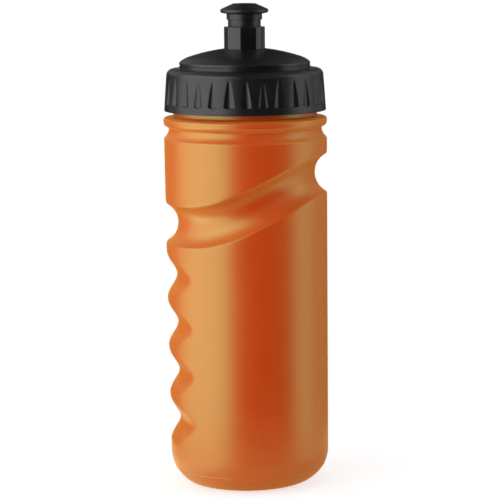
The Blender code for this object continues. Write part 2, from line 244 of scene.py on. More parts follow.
def groove_depth(turn, height, softness):
    """Depth of the round channel, square to its climbing path, with softened lips."""
    share = groove_climb(turn)
    run = BODY_RADIUS * (GROOVE_CLIMB_END - GROOVE_CLIMB_START)
    slope = eased_slope(share) * GROOVE_RISE / run
    offset = np.abs(height - groove_height(turn)) / np.hypot(1, slope)
    inside = np.minimum(offset, groove_half_width)
    floor = np.sqrt(GROOVE_SECTION_RADIUS**2 - inside**2) - (GROOVE_SECTION_RADIUS - GROOVE_DEPTH)
    channel = floor - (offset - inside) * groove_lip_slope
    return softened(channel, softness)


def finger_depth(turn, height, softness):
    """Depth of the leaning finger side and its dents, which are nearly straight across."""
    angle = from_finger_side(turn)
    middle = FINGER_LEAN * (1 - height / BODY_HEIGHT)
    turns = np.clip((DENT_TOP - height) / DENT_PITCH, 0, DENT_COUNT)
    middle = middle + DENT_DEPTH * (1 - np.cos(2 * math.pi * turns)) / 2
    shift = FINGER_PLAN_RADIUS - BODY_RADIUS + middle
    across = np.sqrt(FINGER_PLAN_RADIUS**2 - (shift * np.sin(angle)) ** 2)
    cut = BODY_RADIUS - across + shift * np.cos(angle)
    fade = np.clip(height / FINGER_FADE_HEIGHT, 0, 1)
    return np.where(angle < math.pi / 2, softened(cut, softness) * fade, 0)


def row_height(turn, height):
    """A row's height where the rows of faces follow the groove round the bottle."""
    low_edge = GROOVE_LOW - groove_reach
    high_edge = GROOVE_LOW + groove_reach
    below = (height - BASE_CURVE_HEIGHT) / (low_edge - BASE_CURVE_HEIGHT)
    above = (BODY_HEIGHT - height) / (BODY_HEIGHT - high_edge)
    share = np.clip(min(below, above), 0, 1)
    return height + (groove_height(turn) - GROOVE_LOW) * share


def bottle_outline():
    """Outer side of the bottle from the rim of its mouth down to the centre of its base."""
    points = arc((NECK_RADIUS - MOUTH_ROUND, MOUTH_HEIGHT - MOUTH_ROUND), MOUTH_ROUND, math.pi / 2, 0, 5)
    neck_foot = (NECK_RADIUS, BEAD_TOP + NECK_FOOT_RISE)
    points += stretch((NECK_RADIUS, MOUTH_HEIGHT - 2 * MOUTH_ROUND), neck_foot, NECK_ROWS)
    points += bent(neck_foot, (NECK_RADIUS, BEAD_TOP), (NECK_RADIUS + NECK_FOOT_RUN, BEAD_TOP), 10)
    bead_rim = (BODY_RADIUS - BEAD_ROUND, BEAD_TOP)
    bead_face_top = (BODY_RADIUS, BEAD_TOP - BEAD_ROUND)
    bead_face_foot = (BODY_RADIUS, BEAD_TOP - BEAD_ROUND - BEAD_FACE)
    bead_foot = (BODY_RADIUS - BEAD_FOOT_RUN, bead_face_foot[1] - BEAD_FOOT_DROP)
    bead_under = (BODY_RADIUS, bead_face_foot[1] - BEAD_FOOT_BEND * BEAD_FOOT_DROP)
    points += bent(bead_rim, (BODY_RADIUS, BEAD_TOP), bead_face_top, 12)
    points += bent(bead_face_foot, bead_under, bead_foot, 12)
    flank_centre = (WAIST_RADIUS + flank_radius, waist_height)
    flank = arc(flank_centre, flank_radius, math.pi + FLANK_START, math.pi + SHOULDER_SLOPE, 16)
    points += bent(bead_foot, (WAIST_RADIUS, waist_height - WAIST_BEND_DROP), flank[0], 10)[1:] + flank[1:]
    points += arc((BODY_RADIUS - SHOULDER_ROUND, SHOULDER_START), SHOULDER_ROUND, SHOULDER_SLOPE, 0, 10)[1:]
    groove_top = (BODY_RADIUS, GROOVE_LOW + groove_reach)
    groove_foot = (BODY_RADIUS, GROOVE_LOW - groove_reach)
    base_top = (BODY_RADIUS, BASE_CURVE_HEIGHT)
    points += stretch((BODY_RADIUS, SHOULDER_START - SHOULDER_ROW_DROP), groove_top, UPPER_WALL_ROWS)
    points += stretch(groove_top, groove_foot, GROOVE_ROWS)
    points += stretch(groove_foot, base_top, LOWER_WALL_ROWS)
    handle_out = BASE_CURVE_HEIGHT - BASE_CURVE_DROP
    handle_in = FOOT_RADIUS + BASE_CURVE_RUN
    seam_shares = BASE_SEAM_SHARE + np.linspace(-BASE_SEAM_REACH, BASE_SEAM_REACH, BASE_SEAM_ROWS)
    shares = np.concatenate([np.linspace(0, 1, BASE_CURVE_ROWS), seam_shares])
    for share in np.sort(shares):
        rest = 1 - share
        weights = (rest**3, 3 * rest**2 * share, 3 * rest * share**2, share**3)
        radii = (BODY_RADIUS, BODY_RADIUS, handle_in, FOOT_RADIUS)
        heights = (BASE_CURVE_HEIGHT, handle_out, 0, 0)
        points.append((float(np.dot(weights, radii)), float(np.dot(weights, heights))))
    foot_inner = FOOT_RADIUS - FOOT_WIDTH
    slope_top = (foot_inner - PUSH_UP_SLOPE_WIDTH, PUSH_UP_SLOPE_HEIGHT)
    points += stretch((FOOT_RADIUS - FOOT_EDGE, 0), (foot_inner + FOOT_EDGE, 0), 3)
    points += stretch((foot_inner, FOOT_INNER_LIFT), slope_top, 6)
    points += stretch(slope_top, (0, PUSH_UP_HEIGHT), 10)
    points.append((0, PUSH_UP_HEIGHT))
    return points


def bottle_row(point, turn, inside):
    """One row of the bottle's wall: its radii and heights round the axis."""
    radius, height = point
    heights = np.full_like(turn, height)
    radii = np.full_like(turn, radius)
    if height <= BODY_HEIGHT and radius >= FOOT_RADIUS:
        heights = row_height(turn, height)
        groove_softness = INSIDE_LIP_SOFTNESS if inside else lip_softness(turn, heights)
        finger_softness = INSIDE_LIP_SOFTNESS / 2 if inside else FINGER_LIP_SOFTNESS
        radii -= groove_depth(turn, heights, groove_softness)
        radii -= finger_depth(turn, heights, finger_softness)
    if not inside and height > FOOT_EDGE:
        apart = np.minimum(from_finger_side(turn), math.pi - from_finger_side(turn)) * radius
        radii += PARTING_LINE_HEIGHT * ridge(apart, PARTING_LINE_WIDTH, PARTING_LINE_WIDTH)
        if height < BASE_CURVE_HEIGHT:
            seam = ridge(radius - BASE_SEAM_RADIUS, BASE_SEAM_WIDTH, BASE_SEAM_WIDTH)
            radii += BASE_SEAM_HEIGHT * seam
        if height > BEAD_TOP + NECK_FOOT_RISE:
            radii += THREAD_RIDGE * thread(turn, heights, NECK_THREAD_START, NECK_THREAD_TURNS)
    return radii, heights


def inside_outline(points, wall):
    """The same outline one wall's thickness further in, from the base's centre back up to the mouth."""
    points = np.array(points)
    along = np.gradient(points, axis=0)
    along /= np.maximum(np.linalg.norm(along, axis=1), SHORTEST_STEP)[:, None]
    inward = np.stack([along[:, 1], -along[:, 0]], axis=1)
    moved = points + wall * inward
    moved[:, 0] = np.maximum(moved[:, 0], 0)
    return [tuple(point) for point in moved[::-1]]


def turned_piece(name, rows, turn, closed):
    """A mesh of rows of faces round the Z axis; each row gives its radii and heights at each turn."""
    radii = np.array([row[0] for row in rows])
    heights = np.array([row[1] for row in rows])
    count, columns = radii.shape
    points = np.stack([radii * np.cos(turn), radii * np.sin(turn), heights], axis=-1).reshape(-1, 3)
    upper = np.arange(count if closed else count - 1)
    lower = (upper + 1) % count
    column = np.arange(columns)
    following = (column + 1) % columns
    corners = [
        upper[:, None] * columns + column,
        lower[:, None] * columns + column,
        lower[:, None] * columns + following,
        upper[:, None] * columns + following,
    ]
    faces = np.stack(corners, axis=-1).reshape(-1, 4)
    mesh = bpy.data.meshes.new(name)
    mesh.from_pydata(points.tolist(), [], faces.tolist())
    build = bmesh.new()
    build.from_mesh(mesh)
    bmesh.ops.remove_doubles(build, verts=build.verts, dist=WELD_DISTANCE)
    build.to_mesh(mesh)
    build.free()
    mesh.shade_smooth()
    piece = bpy.data.objects.new(name, mesh)
    scene.collection.objects.link(piece)
    return piece


def turns_round(columns):
    """Angles of a piece's columns of faces round the Z axis."""
    return np.arange(columns) * 2 * math.pi / columns


bottle_turn = turns_round(BOTTLE_COLUMNS)
outer_points = bottle_outline()
inner_points = inside_outline(outer_points, BOTTLE_WALL)[::INSIDE_ROW_STEP]
outer_rows = [bottle_row(point, bottle_turn, inside=False) for point in outer_points]
inner_rows = [bottle_row(point, bottle_turn, inside=True) for point in inner_points]
bottle = turned_piece("bottle", outer_rows + inner_rows, bottle_turn, closed=True)


def moulded_skin_group():
    """Faint waves and fine grain that any moulded plastic's skin has, with a mask for its haze."""
    group = bpy.data.node_groups.new("moulded_skin", "ShaderNodeTree")
    sockets = group.interface
    for name, value in (("Wave Size", 0.006), ("Grain Size", 0.0004), ("Grain Share", 0.3)):
        socket = sockets.new_socket(name, in_out="INPUT", socket_type="NodeSocketFloat")
        socket.default_value = value
    sockets.new_socket("Height", in_out="OUTPUT", socket_type="NodeSocketFloat")
    sockets.new_socket("Haze", in_out="OUTPUT", socket_type="NodeSocketFloat")
    nodes = group.nodes
    links = group.links
    entry = nodes.new("NodeGroupInput")
    leave = nodes.new("NodeGroupOutput")
    place = nodes.new("ShaderNodeTexCoord")
    heights = []
    for name, detail in (("Wave Size", 2.0), ("Grain Size", 3.0)):
        inverse = nodes.new("ShaderNodeMath")
        inverse.operation = "DIVIDE"
        inverse.inputs[0].default_value = 1
        links.new(entry.outputs[name], inverse.inputs[1])
        noise = nodes.new("ShaderNodeTexNoise")
        noise.inputs["Detail"].default_value = detail
        links.new(place.outputs["Object"], noise.inputs["Vector"])
        links.new(inverse.outputs[0], noise.inputs["Scale"])
        heights.append(noise.outputs["Fac"])
    blend = nodes.new("ShaderNodeMix")
    links.new(entry.outputs["Grain Share"], blend.inputs["Factor"])
    links.new(heights[0], blend.inputs["A"])
    links.new(heights[1], blend.inputs["B"])
    links.new(blend.outputs["Result"], leave.inputs["Height"])
    links.new(heights[0], leave.inputs["Haze"])
    return group


moulded_skin = moulded_skin_group()
NOISE_LOW = 0.3
NOISE_HIGH = 0.7
PLASTIC_SPECULAR = 0.70


def ranged(tree, value, low, high):
    """A noise value, which mostly lies between two shares, spread to a range."""
    spread = tree.nodes.new("ShaderNodeMapRange")
    spread.inputs["From Min"].default_value = NOISE_LOW
    spread.inputs["From Max"].default_value = NOISE_HIGH
    spread.inputs["To Min"].default_value = low
    spread.inputs["To Max"].default_value = high
    tree.links.new(value, spread.inputs["Value"])
    return spread.outputs["Result"]


def plastic(name, dark, pale, roughness, wave, grain, grain_share, bump):
    """A moulded plastic: two close shades of its colour, hazy patches and a fine skin."""
    material = bpy.data.materials.new(name)
    material.use_nodes = True
    tree = material.node_tree
    shader = tree.nodes["Principled BSDF"]
    shader.inputs["Specular IOR Level"].default_value = PLASTIC_SPECULAR
    skin = tree.nodes.new("ShaderNodeGroup")
    skin.node_tree = moulded_skin
    skin.inputs["Wave Size"].default_value = wave
    skin.inputs["Grain Size"].default_value = grain
    skin.inputs["Grain Share"].default_value = grain_share
    shade = tree.nodes.new("ShaderNodeMix")
    shade.data_type = "RGBA"
    shade.inputs["A"].default_value = (*dark, 1)
    shade.inputs["B"].default_value = (*pale, 1)
    tree.links.new(ranged(tree, skin.outputs["Haze"], 0, 1), shade.inputs["Factor"])
    tree.links.new(shade.outputs["Result"], shader.inputs["Base Color"])
    tree.links.new(ranged(tree, skin.outputs["Haze"], *roughness), shader.inputs["Roughness"])
    relief = tree.nodes.new("ShaderNodeBump")
    relief.inputs["Distance"].default_value = bump
    tree.links.new(skin.outputs["Height"], relief.inputs["Height"])
    tree.links.new(relief.outputs["Normal"], shader.inputs["Normal"])
    return material


orange = plastic(
    "orange_polyethylene",
    dark=(0.66, 0.0355, 0.0005),
    pale=(0.68, 0.0395, 0.0007),
    roughness=(0.37, 0.39),
    wave=0.009,
    grain=0.0003,
    grain_share=0.08,
    bump=0.00003,
)
orange_shader = orange.node_tree.nodes["Principled BSDF"]
orange_shader.inputs["IOR"].default_value = 1.94
orange_shader.inputs["Sheen Weight"].default_value = 0.60
orange_shader.inputs["Sheen Roughness"].default_value = 0.55
orange_shader.inputs["Sheen Tint"].default_value = (1.0, 0.58, 0.08, 1)
orange_shader.inputs["Specular IOR Level"].default_value = 1.0
orange_shader.inputs["Specular Tint"].default_value = (0.30, 1.0, 0.34, 1)
bottle.data.materials.append(orange)
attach(bottle, "bottle")
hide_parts("bottle_body")


# Sealing washer
# A flat ring of pale seal rubber, punched from sheet. It lies under the lid's deck, round the plug ring,
# and the lid presses it on the rim of the bottle's mouth.
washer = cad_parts["lid_gasket"]
washer.data.materials.clear()
washer.data.materials.append(
    plastic(
        "pale_seal_rubber",
        dark=(0.50, 0.50, 0.47),
        pale=(0.58, 0.58, 0.55),
        roughness=(0.60, 0.72),
        wave=0.003,
        grain=0.0002,
        grain_share=0.6,
        bump=0.00004,
    )
)


# Screw lid
# One moulding in black polypropylene: a matt dome on a deck, and a satin skirt with thirty pointed flutes.
# It screws on the bottle's neck, and its plug ring inside keeps the washer in place.
LID_SEAT = 0.1673
LID_BORE = 0.0305
LID_TOP_RADIUS = 0.0317
LID_FOOT_RADIUS = 0.0327
LID_FOOT = 0.15225 - LID_SEAT
LID_FOOT_ROUND = 0.0003
DECK_THICKNESS = 0.0018
DECK_ROUND = 0.0026
DECK_CORNER_RISE = 0.00005
DECK_CORNER_RUN = 0.0001
DOME_RADIUS = 0.0264
DOME_HOLE = 0.00855
DOME_TOP = 0.0097
DOME_CURVE = 0.0713
DOME_EDGE = 0.0034
DOME_EDGE_BEND_RUN = 0.0009
DOME_EDGE_BEND_DROP = 0.0010
DOME_RIM = 0.0043
DOME_RIM_ROW_DROP = 0.00015
DOME_WALL = 0.0015
RIM_LINE = 0.0033
RIM_LINE_DEPTH = 0.00022
RIM_LINE_WIDTH = 0.00025
PLUG_RADIUS = 0.0277
PLUG_LENGTH = 0.0040
PLUG_WALL = 0.0012
FLUTE_COUNT = 30
FLUTE_DEPTH = 0.0008
FLUTE_WIDTH = 0.0042
FLUTE_HEIGHT = 0.0109
FLUTE_POINT_SHARE = 1e-4
FLUTE_BAND = 0.0027
FLUTE_LEDGE = 0.00018
FLUTE_SWELL = 0.58
FLUTE_FOOT_BOW = 0.00045
FLUTE_PHASE = math.radians(-89.2)
FLUTE_EDGE_SOFTNESS = 0.00004
LID_THREAD_START = 0.1571 - LID_SEAT
LID_THREAD_TURNS = 1.2
SKIRT_ROW_DROP = 0.0002
BAND_ROW_DROP = 0.0004
BORE_ROW_INSET = 0.0001
DOME_ROWS = 14
FLUTE_ROWS = 40
FLUTE_FOOT_ROWS = 12
BORE_ROWS = 60
FLUTE_COLUMNS = 24
LID_SHARP_ANGLE = math.radians(50)

skirt_top = DECK_THICKNESS - DECK_ROUND
skirt_taper = (LID_FOOT_RADIUS - LID_TOP_RADIUS) / (skirt_top - LID_FOOT)
flute_foot = LID_FOOT + FLUTE_BAND


def dome_height(radius, drop=0.0):
    """Height of the dome over the lid's seat."""
    lift = math.sqrt(DOME_CURVE**2 - radius**2) - math.sqrt(DOME_CURVE**2 - DOME_HOLE**2)
    return DOME_TOP + lift - drop


def plain_rows(outline, turn):
    """Rows of a plain turned piece."""
    return [(np.full_like(turn, radius), np.full_like(turn, height)) for radius, height in outline]


def lid_outside():
    """Section of the lid's outside: down the dome, its wall and the deck to the top of the skirt."""
    edge_start = (DOME_RADIUS - DOME_EDGE, dome_height(DOME_RADIUS - DOME_EDGE))
    edge_bend = (DOME_RADIUS - DOME_EDGE_BEND_RUN, edge_start[1] - DOME_EDGE_BEND_DROP)
    dome_radii = np.linspace(DOME_HOLE, edge_start[0], DOME_ROWS)[:-1]
    points = [(radius, dome_height(radius)) for radius in dome_radii]
    points += bent(edge_start, edge_bend, (DOME_RADIUS, DOME_RIM), 9)
    line_top = RIM_LINE + RIM_LINE_WIDTH
    line_foot = RIM_LINE - RIM_LINE_WIDTH
    line_floor = DOME_RADIUS - RIM_LINE_DEPTH
    points += [(DOME_RADIUS, DOME_RIM - DOME_RIM_ROW_DROP), (DOME_RADIUS, line_top)]
    points += [(line_floor, RIM_LINE + RIM_LINE_WIDTH / 2), (line_floor, RIM_LINE - RIM_LINE_WIDTH / 2)]
    points += stretch((DOME_RADIUS, line_foot), (DOME_RADIUS, DECK_THICKNESS), 5)
    points.append((DOME_RADIUS, DECK_THICKNESS + DECK_CORNER_RISE))
    points.append((DOME_RADIUS + DECK_CORNER_RUN, DECK_THICKNESS))
    corner = (LID_TOP_RADIUS - DECK_ROUND, skirt_top)
    points += arc(corner, DECK_ROUND, math.pi / 2, 0, 14)
    return points


def skirt_radius(height):
    """Radius of the tapered skirt between its flutes."""
    return LID_TOP_RADIUS + (skirt_top - height) * skirt_taper


def flute_cut(turn, height):
    """How deep the nearest flute cuts the skirt: a round scoop, pointed at its top, with a bowed foot."""
    pitch = 2 * math.pi / FLUTE_COUNT
    aside = np.abs(turn / pitch - np.round(turn / pitch)) * pitch * skirt_radius(height)
    half = FLUTE_WIDTH / 2
    section = (half**2 + FLUTE_DEPTH**2) / (2 * FLUTE_DEPTH)
    share = np.clip((flute_foot + FLUTE_HEIGHT - height) / FLUTE_HEIGHT, FLUTE_POINT_SHARE, 1) ** FLUTE_SWELL
    near = np.minimum(aside, section * share)
    cut = np.sqrt((section * share) ** 2 - near**2) - (section - FLUTE_DEPTH) * share
    cut = softened(np.where(aside < section * share, cut, -section), FLUTE_EDGE_SOFTNESS)
    foot = flute_foot + FLUTE_FOOT_BOW * (aside / half) ** 2
    return cut * eased((height - foot) / FLUTE_LEDGE)


def lid_rows(turn):
    """Rows of the whole lid: its outside, the fluted skirt, the threaded bore and the underside."""
    rows = plain_rows(lid_outside(), turn)
    flute_top = flute_foot + FLUTE_HEIGHT
    foot_top = flute_foot + FLUTE_FOOT_BOW + FLUTE_LEDGE
    heights = list(np.linspace(skirt_top - SKIRT_ROW_DROP, flute_top, 4)[:-1])
    heights += list(np.linspace(flute_top, foot_top, FLUTE_ROWS)[:-1])
    heights += list(np.linspace(foot_top, flute_foot, FLUTE_FOOT_ROWS))
    for height in heights:
        rows.append((skirt_radius(height) - flute_cut(turn, height), np.full_like(turn, height)))
    band_top = flute_foot - BAND_ROW_DROP
    band_foot = (LID_FOOT_RADIUS, LID_FOOT + LID_FOOT_ROUND)
    foot_corner = (LID_FOOT_RADIUS - LID_FOOT_ROUND, LID_FOOT + LID_FOOT_ROUND)
    band = stretch((skirt_radius(band_top), band_top), band_foot, 5)
    band += arc(foot_corner, LID_FOOT_ROUND, 0, -math.pi / 2, 4)
    rows += plain_rows(band, turn)
    for height in np.linspace(LID_FOOT + BORE_ROW_INSET, -BORE_ROW_INSET, BORE_ROWS):
        crest = thread(turn, height, LID_THREAD_START, LID_THREAD_TURNS)
        rows.append((LID_BORE - THREAD_RIDGE * crest, np.full_like(turn, height)))
    plug_inside = PLUG_RADIUS - PLUG_WALL
    dome_inside = DOME_RADIUS - DOME_WALL
    underside = [(LID_BORE, 0), (PLUG_RADIUS, 0), (PLUG_RADIUS, -PLUG_LENGTH)]
    underside += [(plug_inside, -PLUG_LENGTH), (plug_inside, 0), (dome_inside, 0)]
    for radius in np.linspace(dome_inside, DOME_HOLE, 8):
        underside.append((radius, dome_height(radius, DOME_WALL)))
    rows += plain_rows(underside, turn)
    return [(radii, heights + LID_SEAT) for radii, heights in rows]


lid_turn = turns_round(FLUTE_COUNT * FLUTE_COLUMNS)
lid = turned_piece("lid", lid_rows(lid_turn), lid_turn, closed=True)
lid.data.transform(Matrix.Rotation(FLUTE_PHASE, 4, "Z"))
lid.data.set_sharp_from_angle(angle=LID_SHARP_ANGLE)
lid.data.materials.append(
    plastic(
        "matt_black_lid",
        dark=(0.004, 0.004, 0.0043),
        pale=(0.006, 0.006, 0.0063),
        roughness=(0.30, 0.34),
        wave=0.004,
        grain=0.00025,
        grain_share=0.5,
        bump=0.00004,
    )
)
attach(lid, "lid")
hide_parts("screw_lid")


# Spout tube
# A short polished tube in black plastic that stands in the dome, held by a flange under it.
# The valve's core pin stands inside it on three ribs.
TUBE_RADIUS = 0.00825
TUBE_BORE = 0.00745
TUBE_UPPER_BORE = 0.0069
TUBE_TOP = 0.1859
TUBE_RIM_ROUND = 0.0004
RETAINING_LIP = 0.0017
FLANGE_RADIUS = 0.01075
FLANGE_THICKNESS = 0.0012
CORE_FOOT_RADIUS = 0.0027
CORE_RADIUS = 0.0022
CORE_TIP_LENGTH = 0.0040
CORE_TIP_CHAMFER = 0.0003
CORE_FOOT_LENGTH = 0.0028
RIB_COUNT = 3
RIB_HEIGHT = 0.0021
RIB_THICKNESS = 0.0014
RIB_FOOT_LIFT = 0.0003
RIB_SINK = 0.0002
RIB_GAP = 0.00005
SPOUT_COLUMNS = 128
SPOUT_SHARP_ANGLE = math.radians(40)

flange_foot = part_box("spout_tube")[0].z
core_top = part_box("spout_tube")[1].z
flange_top = flange_foot + FLANGE_THICKNESS


def tube_outline():
    """Section of the tube: its rim, outside, flange, bore and the lip that keeps the piston in."""
    rim_centre = (TUBE_RADIUS - TUBE_RIM_ROUND, TUBE_TOP - TUBE_RIM_ROUND)
    points = [(TUBE_UPPER_BORE, TUBE_TOP)]
    points += arc(rim_centre, TUBE_RIM_ROUND, math.pi / 2, 0, 6)
    points += stretch((TUBE_RADIUS, TUBE_TOP - 2 * TUBE_RIM_ROUND), (TUBE_RADIUS, flange_top), 12)
    points += [(TUBE_RADIUS, flange_top), (FLANGE_RADIUS, flange_top)]
    points += [(FLANGE_RADIUS, flange_foot), (TUBE_BORE, flange_foot)]
    points += [(TUBE_BORE, TUBE_TOP - RETAINING_LIP), (TUBE_UPPER_BORE, TUBE_TOP - RETAINING_LIP)]
    return points


spout_turn = turns_round(SPOUT_COLUMNS)
tube = turned_piece("tube", plain_rows(tube_outline(), spout_turn), spout_turn, closed=True)
tube.data.set_sharp_from_angle(angle=SPOUT_SHARP_ANGLE)
tube_black = plastic(
    "glossy_black_tube",
    dark=(0.006, 0.006, 0.0065),
    pale=(0.008, 0.008, 0.0085),
    roughness=(0.08, 0.12),
    wave=0.005,
    grain=0.0005,
    grain_share=0.1,
    bump=0.00001,
)
tube.data.materials.append(tube_black)
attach(tube, "lid")
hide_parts("spout_tube")

core_points = [(0, core_top), (CORE_RADIUS - CORE_TIP_CHAMFER, core_top)]
core_points += [(CORE_RADIUS, core_top - CORE_TIP_CHAMFER), (CORE_RADIUS, core_top - CORE_TIP_LENGTH)]
core_points += [(CORE_FOOT_RADIUS, flange_foot + CORE_FOOT_LENGTH), (CORE_FOOT_RADIUS, flange_foot)]
core_points.append((0, flange_foot))
core = turned_piece("core_pin", plain_rows(core_points, spout_turn), spout_turn, closed=False)
core.data.set_sharp_from_angle(angle=SPOUT_SHARP_ANGLE)
build = bmesh.new()
build.from_mesh(core.data)
rib_start = CORE_FOOT_RADIUS - RIB_SINK
rib_end = TUBE_BORE - RIB_GAP
rib_height = flange_foot + RIB_FOOT_LIFT + RIB_HEIGHT / 2
rib_middle = Matrix.Translation(((rib_start + rib_end) / 2, 0, rib_height))
rib_size = Matrix.Diagonal((rib_end - rib_start, RIB_THICKNESS, RIB_HEIGHT, 1))
for i in range(RIB_COUNT):
    stand = Matrix.Rotation(2 * math.pi * i / RIB_COUNT, 4, "Z")
    bmesh.ops.create_cube(build, matrix=stand @ rib_middle @ rib_size)
build.to_mesh(core.data)
build.free()
core.data.materials.append(tube_black)
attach(core, "lid")


# Mouthpiece
# A push-pull mouthpiece moulded in satin black plastic: a mushroom head, a collar and a stem.
# Its piston foot is snapped into the tube, and it slides on the core pin to open and close.
STEM_RADIUS = 0.0066
MOUTH_BORE = 0.0049
PISTON_RADIUS = 0.00715
COLLAR_RADIUS = 0.00715
COLLAR_HEIGHT = 0.0024
COLLAR_ROUND = 0.00025
COLLAR_ROW_DROP = 0.0003
HEAD_RADIUS = 0.0097
HEAD_EDGE = 0.0009
HEAD_SLOPE = math.radians(24.5)
HEAD_FLAT = 0.0046
HEAD_CONE_DROP = 0.00002
HEAD_FOOT_FILLET = 0.0001
OUTLET_RADIUS = 0.0025
OUTLET_LENGTH = 0.0030
OUTLET_CHAMFER = 0.0003
MOUTH_TRAVEL = 0.0024
SEAT_GAP = 0.0003

head_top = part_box("mouthpiece")[1].z
piston_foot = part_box("mouthpiece")[0].z
piston_top = TUBE_TOP - RETAINING_LIP - SEAT_GAP
collar_seat = TUBE_TOP + MOUTH_TRAVEL + SEAT_GAP
head_foot = collar_seat + COLLAR_HEIGHT


def mouthpiece_outline():
    """Section of the mouthpiece: its head, collar, stem, piston foot, bore and outlet."""
    edge_radius = HEAD_RADIUS - HEAD_EDGE
    cone_start = edge_radius + HEAD_EDGE * math.sin(HEAD_SLOPE)
    cone_rise = (cone_start - HEAD_FLAT) * math.tan(HEAD_SLOPE)
    edge_height = head_top - cone_rise - HEAD_EDGE * math.cos(HEAD_SLOPE)
    points = [(OUTLET_RADIUS, head_top - OUTLET_CHAMFER), (OUTLET_RADIUS + OUTLET_CHAMFER, head_top)]
    points += stretch((OUTLET_RADIUS + 2 * OUTLET_CHAMFER, head_top), (HEAD_FLAT, head_top), 4)
    points += stretch((HEAD_FLAT, head_top - HEAD_CONE_DROP), (cone_start, head_top - cone_rise), 8)
    points += arc((edge_radius, edge_height), HEAD_EDGE, math.pi / 2 - HEAD_SLOPE, -math.pi / 2, 14)
    points.append((COLLAR_RADIUS + HEAD_FOOT_FILLET, head_foot))
    points.append((COLLAR_RADIUS, head_foot - HEAD_FOOT_FILLET))
    collar_top = (COLLAR_RADIUS, head_foot - COLLAR_ROW_DROP)
    points += stretch(collar_top, (COLLAR_RADIUS, collar_seat + COLLAR_ROUND), 4)
    corner = (COLLAR_RADIUS - COLLAR_ROUND, collar_seat + COLLAR_ROUND)
    points += arc(corner, COLLAR_ROUND, 0, -math.pi / 2, 4)
    points += stretch((STEM_RADIUS, collar_seat), (STEM_RADIUS, piston_top), 8)
    points += [(STEM_RADIUS, piston_top), (PISTON_RADIUS, piston_top), (PISTON_RADIUS, piston_foot)]
    outlet_foot = head_top - OUTLET_LENGTH
    points += [(MOUTH_BORE, piston_foot), (MOUTH_BORE, outlet_foot), (OUTLET_RADIUS, outlet_foot)]
    return points


mouthpiece_rows = plain_rows(mouthpiece_outline(), spout_turn)
mouthpiece = turned_piece("mouthpiece_top", mouthpiece_rows, spout_turn, closed=True)
mouthpiece.data.set_sharp_from_angle(angle=SPOUT_SHARP_ANGLE)
mouthpiece.data.materials.append(
    plastic(
        "satin_black_mouthpiece",
        dark=(0.004, 0.004, 0.0043),
        pale=(0.006, 0.006, 0.0063),
        roughness=(0.36, 0.42),
        wave=0.003,
        grain=0.0003,
        grain_share=0.4,
        bump=0.00003,
    )
)
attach(mouthpiece, "mouthpiece")
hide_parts("mouthpiece")


# Studio
# A wide softbox and a screen light the bottle from the left, a narrower softbox from the right, and a dim
# panel from each side at the back. The fills, the ceiling and the light from underneath soften its
# shadows and don't show in its gloss.
PANEL_DISTANCE = 1.2
PANEL_HEIGHT = 2.2
PANEL_MIDDLE = 0.20
CEILING_HEIGHT = 1.4
CEILING_SPREAD = 64
CEILING_RADIANCE = 0.4
UNDERNEATH_RADIANCE = 0.14
PANELS = {
    "left_softbox": {"azimuth": -53, "spread": 60, "radiance": 1.60},
    "left_screen": {"azimuth": -95, "spread": 26, "radiance": 1.3},
    "right_softbox": {"azimuth": 87, "spread": 36, "radiance": 0.90},
    "left_wall": {"azimuth": -125, "spread": 34, "radiance": 0.16},
    "right_wall": {"azimuth": 124, "spread": 36, "radiance": 0.30},
}
FILLS = {
    "front_fill": {"azimuth": 0, "spread": 100, "radiance": 0.56},
    "right_fill": {"azimuth": 90, "spread": 70, "radiance": 0.42},
    "back_fill": {"azimuth": 180, "spread": 100, "radiance": 0.64},
}


def panel(name, azimuth, spread, radiance):
    """A tall area light round the bottle, at an angle from the camera's side, turned to the bottle."""
    width = 2 * PANEL_DISTANCE * math.tan(math.radians(spread) / 2)
    light = bpy.data.lights.new(name, "AREA")
    light.shape = "RECTANGLE"
    light.size = width
    light.size_y = PANEL_HEIGHT
    light.energy = radiance * math.pi * width * PANEL_HEIGHT
    lamp = bpy.data.objects.new(name, light)
    scene.collection.objects.link(lamp)
    away = Vector((math.sin(math.radians(azimuth)), -math.cos(math.radians(azimuth)), 0))
    lamp.location = PANEL_DISTANCE * away + Vector((0, 0, PANEL_MIDDLE))
    lamp.rotation_euler = away.to_track_quat("Z", "Y").to_euler()
    lamp.visible_camera = False
    return lamp


for name, values in PANELS.items():
    panel(name, **values)
fills = [panel(name, **values) for name, values in FILLS.items()]
ceiling = panel("ceiling", 0, CEILING_SPREAD, CEILING_RADIANCE)
ceiling.location = (0, 0, CEILING_HEIGHT)
ceiling.rotation_euler = (0, 0, 0)
underneath = panel("underneath", 0, CEILING_SPREAD, UNDERNEATH_RADIANCE)
underneath.location = (0, 0, -CEILING_HEIGHT)
underneath.rotation_euler = (math.pi, 0, 0)
for lamp in [*fills, ceiling, underneath]:
    lamp.visible_glossy = False
    lamp.data.cycles.use_multiple_importance_sampling = False


# Surroundings
# The camera sees plain white all round. What lights the bottle and shows in its gloss is a low backdrop,
# a dim wall at each side and a floor that is brighter at the left. Each pair of numbers is the span of
# X, Y or Z in the direction of view over which a part fades in.
BACKDROP_EDGE = (0.95, 0.99)
BACKDROP_TOP = (0.12, 0.05)
WALL_FOOT = (0.08, 0.25)
LEFT_WALL_SIDE = (0.0, -0.35)
LEFT_WALL_GLOW = 0.35
RIGHT_WALL_SIDE = (0.0, 0.35)
RIGHT_WALL_GLOW = 0.18
LEFT_FLOOR_SIDE = (-0.50, -0.85)
LEFT_FLOOR_DIP = (-0.40, -0.60)
LEFT_FLOOR_GLOW = 1.6
NEAR_FLOOR_DIP = (-0.50, -0.75)
NEAR_FLOOR_GLOW = 0.35
ROOM_GLOW = 0.008


